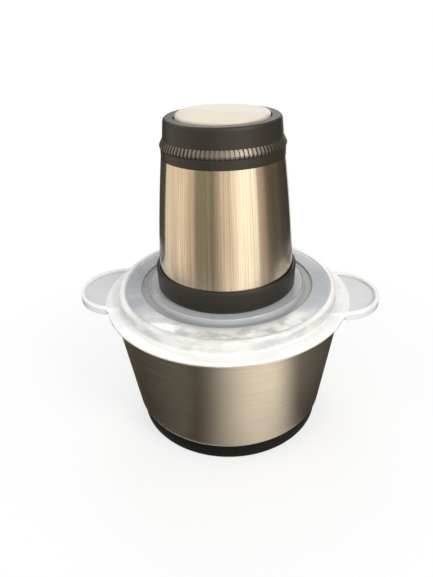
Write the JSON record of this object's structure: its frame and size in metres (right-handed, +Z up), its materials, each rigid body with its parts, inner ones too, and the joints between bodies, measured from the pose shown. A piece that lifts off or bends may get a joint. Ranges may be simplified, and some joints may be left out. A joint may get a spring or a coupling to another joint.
{
  "type": "electric food chopper",
  "caption": "Electric food chopper: steel bowl on a rubber foot, frosted lid with ears, motor head with rocker button, geared drive and two-tier blades.",
  "frame": {"origin": "on the table under the centre of the bowl", "axes": "+Z up along the blade's axis, X along the line through the lid's two ears"},
  "size_m": [0.263, 0.21, 0.2728],
  "materials": {
    "bowl_steel": "fine brushing round the wall",
    "bright_steel": "turned",
    "foot_rubber": "matt",
    "frosted_lid": "frosted",
    "silicone": "soft",
    "ivory_plastic": "moulded",
    "blade_steel": "ground edge",
    "black_plastic": "satin",
    "grip_rubber": "matt",
    "sleeve_steel": "upright brushing",
    "grey_plastic": "moulded",
    "switch_plastic": "moulded",
    "zinc_screws": "zinc plated",
    "cast_alloy": "cast",
    "laminations": "stamped",
    "copper": "enamelled copper",
    "brush_brass": "pressed",
    "carbon": "sintered carbon",
    "sun_steel": "hobbed",
    "gear_nylon": "moulded",
    "button_ivory": "satin",
    "plunger_white": "moulded"
  },
  "bodies": {
    "bowl_body": {"bowl": "bowl_steel", "bowl_pin": "bright_steel", "foot_ring": "foot_rubber"},
    "lid_body": {"lid": "frosted_lid", "lid_seal": "silicone"},
    "motor_head": {"base_cup": "black_plastic", "steel_sleeve": "sleeve_steel", "grip_ring": "grip_rubber", "top_cap": "black_plastic", "switch_frame": "grey_plastic", "switch_low": "switch_plastic", "switch_high": "switch_plastic", "rocker_pin": "bright_steel", "gearbox_cover": "grey_plastic", "gear_housing": "grey_plastic", "output_bearing": "bright_steel", "shaft_seal": "grip_rubber", "gearbox_screws": "zinc_screws", "lower_bracket": "cast_alloy", "lower_bearing": "bright_steel", "stator_core": "laminations", "field_coils": "copper", "motor_screws": "zinc_screws", "upper_bracket": "cast_alloy", "upper_bearing": "bright_steel", "brush_holders": "brush_brass", "carbon_brushes": "carbon", "rubber_mount": "grip_rubber", "tie_rods": "zinc_screws", "cord_gland": "grip_rubber", "spring_low": "zinc_screws", "spring_high": "zinc_screws"},
    "rotor": {"motor_shaft": "bright_steel", "armature": "laminations", "commutator": "copper", "cooling_fan": "grey_plastic", "sun_pinion": "sun_steel"},
    "carrier": {"planet_carrier": "bright_steel", "planet_pins": "bright_steel", "output_shaft": "bright_steel", "drive_coupling": "bright_steel"},
    "planet_1": {"planet_gear_1": "gear_nylon"},
    "planet_2": {"planet_gear_2": "gear_nylon"},
    "planet_3": {"planet_gear_3": "gear_nylon"},
    "button": {"rocker_button": "button_ivory"},
    "plunger_a": {"plunger_low": "plunger_white"},
    "plunger_b": {"plunger_high": "plunger_white"},
    "blade": {"blade_hub": "ivory_plastic", "hub_bush": "ivory_plastic", "lower_blade": "blade_steel", "blade_spacer": "ivory_plastic", "upper_blade": "blade_steel", "blade_nut": "ivory_plastic"}
  },
  "joints": [
    {"name": "lid_lift", "type": "slide", "parent": "bowl_body", "child": "lid_body", "axis": [0, 0, 1], "range_m": [0, 0.12]},
    {"name": "motor_lift", "type": "slide", "parent": "lid_body", "child": "motor_head", "axis": [0, 0, 1], "range_m": [0, 0.08]},
    {"name": "blade_spin", "type": "hinge", "parent": "bowl_body", "child": "blade", "pos_m": [0, 0, 0.06], "axis": [0, 0, 1], "continuous": true},
    {"name": "rotor_spin", "type": "hinge", "parent": "motor_head", "child": "rotor", "pos_m": [0, 0, 0.19], "axis": [0, 0, 1], "continuous": true},
    {"name": "carrier_spin", "type": "hinge", "parent": "motor_head", "child": "carrier", "pos_m": [0, 0, 0.14], "axis": [0, 0, 1], "continuous": true},
    {"name": "planet_spin_1", "type": "hinge", "parent": "carrier", "child": "planet_1", "pos_m": [0.01875, 0, 0.149], "axis": [0, 0, 1], "continuous": true},
    {"name": "planet_spin_2", "type": "hinge", "parent": "carrier", "child": "planet_2", "pos_m": [-0.00937, 0.01624, 0.149], "axis": [0, 0, 1], "continuous": true},
    {"name": "planet_spin_3", "type": "hinge", "parent": "carrier", "child": "planet_3", "pos_m": [-0.00937, -0.01624, 0.149], "axis": [0, 0, 1], "continuous": true},
    {"name": "button_tilt", "type": "hinge", "parent": "motor_head", "child": "button", "pos_m": [0, 0, 0.2655], "axis": [0.9063, -0.4226, 0], "range_deg": [-3.5, 3.5], "stiffness_Nm_per_rad": 2},
    {"name": "plunger_low_slide", "type": "slide", "parent": "motor_head", "child": "plunger_a", "axis": [0, 0, 1], "range_m": [-0.0011, 0.0011], "deforming": ["spring_low"]},
    {"name": "plunger_high_slide", "type": "slide", "parent": "motor_head", "child": "plunger_b", "axis": [0, 0, 1], "range_m": [-0.0011, 0.0011], "deforming": ["spring_high"]}
  ],
  "couplings": [
    {"joint": "carrier_spin", "follows": "rotor_spin", "ratio": 0.2},
    {"joint": "blade_spin", "follows": "rotor_spin", "ratio": 0.2},
    {"joint": "planet_spin_1", "follows": "rotor_spin", "ratio": -0.53333},
    {"joint": "planet_spin_2", "follows": "rotor_spin", "ratio": -0.53333},
    {"joint": "planet_spin_3", "follows": "rotor_spin", "ratio": -0.53333},
    {"joint": "plunger_low_slide", "follows": "button_tilt", "m_per_rad": -0.018},
    {"joint": "plunger_high_slide", "follows": "button_tilt", "m_per_rad": 0.018}
  ]
}
